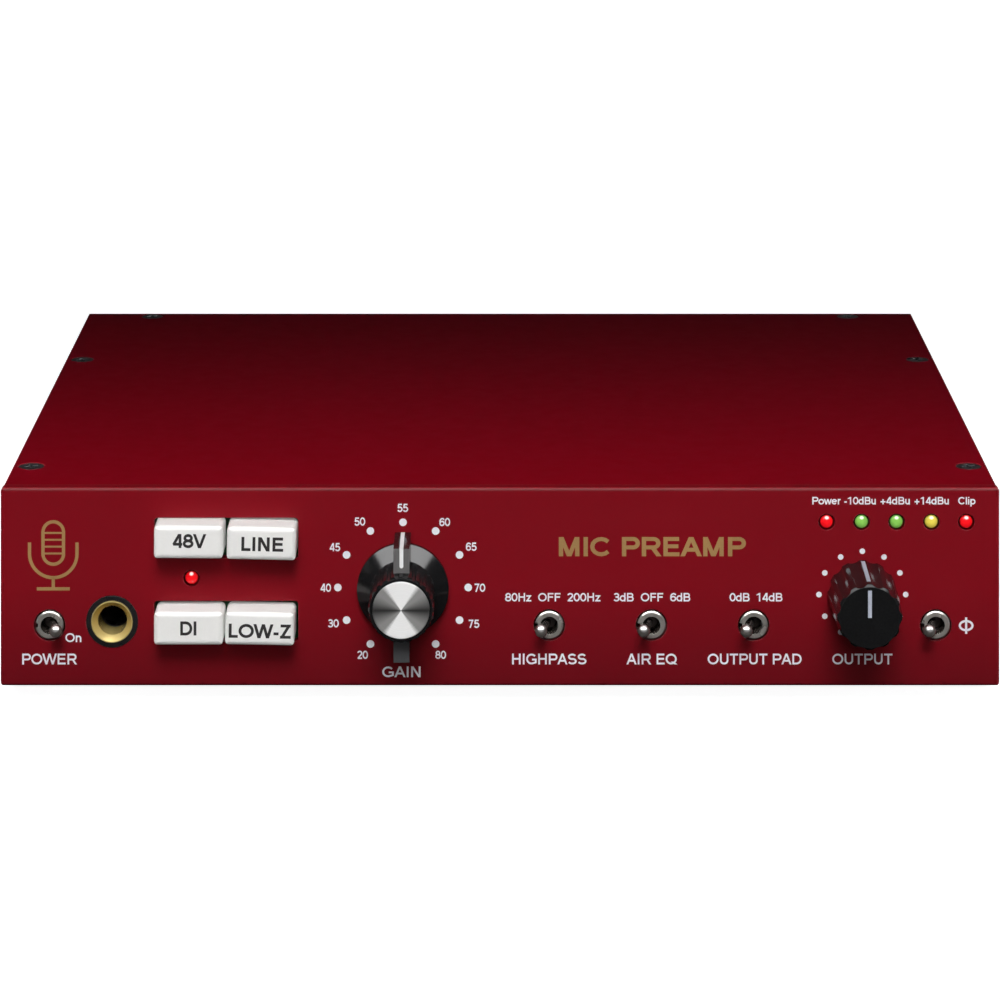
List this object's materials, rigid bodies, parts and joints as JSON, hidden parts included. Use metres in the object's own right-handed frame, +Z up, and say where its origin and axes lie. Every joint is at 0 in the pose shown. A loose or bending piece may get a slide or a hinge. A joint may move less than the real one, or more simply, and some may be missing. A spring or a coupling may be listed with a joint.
{
  "type": "microphone preamp",
  "caption": "Half-rack microphone preamp with gain and output knobs, toggle switches, push buttons, level lamps, an instrument jack and rear connectors.",
  "frame": {"origin": "on the plane the rubber feet rest on, below the middle of the whole outline seen from above", "axes": "+X to the right along the front panel as the user faces it, +Y from the front panel towards the rear panel, +Z up; the front panel's face is at Y = -83.05 mm"},
  "size_m": [0.219, 0.2012, 0.0475],
  "materials": {
    "front_panel": "smooth satin powder coat",
    "base_tray": "smooth satin powder coat",
    "rear_panel": "smooth satin powder coat",
    "lid": "smooth satin powder coat",
    "lid_screws": "blackened",
    "pan_head_screws": "zinc plated",
    "rubber_feet": "plain",
    "foot_screws": "zinc plated",
    "main_board": "solder-masked glass fibre",
    "standoffs": "plain",
    "front_board": "solder-masked glass fibre",
    "ribbon_cable": "ribbed",
    "ribbon_headers": "moulded",
    "input_transformer": "drawn can",
    "transformer_core": "stacked laminations",
    "transformer_coil": "taped winding",
    "reservoir_capacitors": "sleeved can",
    "small_capacitors": "sleeved can",
    "film_capacitors": "boxed",
    "regulators": "moulded",
    "heatsinks": "black anodised",
    "resistors": "lacquered",
    "transistors": "moulded",
    "toggle_bodies": "moulded",
    "toggle_bushings": "bright plated",
    "power_lever": "bright plated",
    "highpass_lever": "bright plated",
    "air_lever": "bright plated",
    "pad_lever": "bright plated",
    "phase_lever": "bright plated",
    "push_switches": "moulded",
    "phantom_button": "warm white moulding",
    "line_button": "warm white moulding",
    "instrument_button": "warm white moulding",
    "impedance_button": "warm white moulding",
    "gain_switch": "moulded",
    "gain_shaft": "zinc plated",
    "gain_knob": "polished moulding",
    "gain_cap": "turned face",
    "gain_line": "warm white moulding",
    "output_pot": "moulded",
    "output_shaft": "zinc plated",
    "output_knob": "polished moulding",
    "output_line": "warm white moulding",
    "control_nuts": "zinc plated",
    "red_lamps": "tinted lens",
    "green_lamps": "tinted lens",
    "yellow_lamp": "tinted lens",
    "lamp_spacers": "moulded",
    "di_jack": "moulded",
    "di_ring": "gold plated",
    "rear_jacks": "moulded",
    "jack_nuts": "bright plated",
    "mic_shell": "bright plated",
    "mic_insert": "moulded",
    "mic_latch": "zinc plated",
    "output_shell": "black coated",
    "contact_pins": "gold plated",
    "power_inlet": "moulded"
  },
  "bodies": {
    "case": {"front_panel": "front_panel", "base_tray": "base_tray", "rear_panel": "rear_panel", "lid": "lid", "lid_screws": "lid_screws", "pan_head_screws": "pan_head_screws", "rubber_feet": "rubber_feet", "foot_screws": "foot_screws", "main_board": "main_board", "standoffs": "standoffs", "front_board": "front_board", "ribbon_cable": "ribbon_cable", "ribbon_headers": "ribbon_headers", "input_transformer": "input_transformer", "transformer_core": "transformer_core", "transformer_coil": "transformer_coil", "reservoir_capacitors": "reservoir_capacitors", "small_capacitors": "small_capacitors", "film_capacitors": "film_capacitors", "regulators": "regulators", "heatsinks": "heatsinks", "resistors": "resistors", "transistors": "transistors", "toggle_bodies": "toggle_bodies", "toggle_bushings": "toggle_bushings", "push_switches": "push_switches", "gain_switch": "gain_switch", "output_pot": "output_pot", "control_nuts": "control_nuts", "red_lamps": "red_lamps", "green_lamps": "green_lamps", "yellow_lamp": "yellow_lamp", "lamp_spacers": "lamp_spacers", "di_jack": "di_jack", "di_ring": "di_ring", "rear_jacks": "rear_jacks", "jack_nuts": "jack_nuts", "mic_shell": "mic_shell", "mic_insert": "mic_insert", "output_shell": "output_shell", "contact_pins": "contact_pins", "power_inlet": "power_inlet"},
    "power_lever_arm": {"power_lever": "power_lever"},
    "highpass_lever_arm": {"highpass_lever": "highpass_lever"},
    "air_lever_arm": {"air_lever": "air_lever"},
    "pad_lever_arm": {"pad_lever": "pad_lever"},
    "phase_lever_arm": {"phase_lever": "phase_lever"},
    "phantom_button_cap": {"phantom_button": "phantom_button"},
    "line_button_cap": {"line_button": "line_button"},
    "instrument_button_cap": {"instrument_button": "instrument_button"},
    "impedance_button_cap": {"impedance_button": "impedance_button"},
    "gain_control": {"gain_shaft": "gain_shaft", "gain_knob": "gain_knob", "gain_cap": "gain_cap", "gain_line": "gain_line"},
    "output_control": {"output_shaft": "output_shaft", "output_knob": "output_knob", "output_line": "output_line"},
    "mic_latch_tab": {"mic_latch": "mic_latch"}
  },
  "joints": [
    {"name": "gain_turn", "type": "hinge", "parent": "case", "child": "gain_control", "pos_m": [-0.02125, -0.08305, 0.02565], "axis": [0, 1, 0], "range_deg": [-150, 150]},
    {"name": "output_turn", "type": "hinge", "parent": "case", "child": "output_control", "pos_m": [0.0794, -0.08305, 0.0241], "axis": [0, 1, 0], "range_deg": [-150, 150]},
    {"name": "power_toggle", "type": "hinge", "parent": "case", "child": "power_lever_arm", "pos_m": [-0.0987, -0.07905, 0.0174], "axis": [0, 0, 1], "range_deg": [-25, 0]},
    {"name": "highpass_toggle", "type": "hinge", "parent": "case", "child": "highpass_lever_arm", "pos_m": [0.0108, -0.07905, 0.0174], "axis": [0, 0, 1], "range_deg": [0, 25]},
    {"name": "air_toggle", "type": "hinge", "parent": "case", "child": "air_lever_arm", "pos_m": [0.0332, -0.07905, 0.0174], "axis": [0, 0, 1], "range_deg": [0, 25]},
    {"name": "pad_toggle", "type": "hinge", "parent": "case", "child": "pad_lever_arm", "pos_m": [0.0556, -0.07905, 0.0174], "axis": [0, 0, 1], "range_deg": [0, 25]},
    {"name": "phase_toggle", "type": "hinge", "parent": "case", "child": "phase_lever_arm", "pos_m": [0.0955, -0.07905, 0.0174], "axis": [0, 0, 1], "range_deg": [0, 25]},
    {"name": "phantom_push", "type": "slide", "parent": "case", "child": "phantom_button_cap", "axis": [0, 1, 0], "range_m": [0, 0.003]},
    {"name": "line_push", "type": "slide", "parent": "case", "child": "line_button_cap", "axis": [0, 1, 0], "range_m": [0, 0.003]},
    {"name": "instrument_push", "type": "slide", "parent": "case", "child": "instrument_button_cap", "axis": [0, 1, 0], "range_m": [0, 0.003]},
    {"name": "impedance_push", "type": "slide", "parent": "case", "child": "impedance_button_cap", "axis": [0, 1, 0], "range_m": [0, 0.003]},
    {"name": "mic_latch_press", "type": "slide", "parent": "case", "child": "mic_latch_tab", "axis": [0, -1, 0], "range_m": [0, 0.0015]}
  ]
}
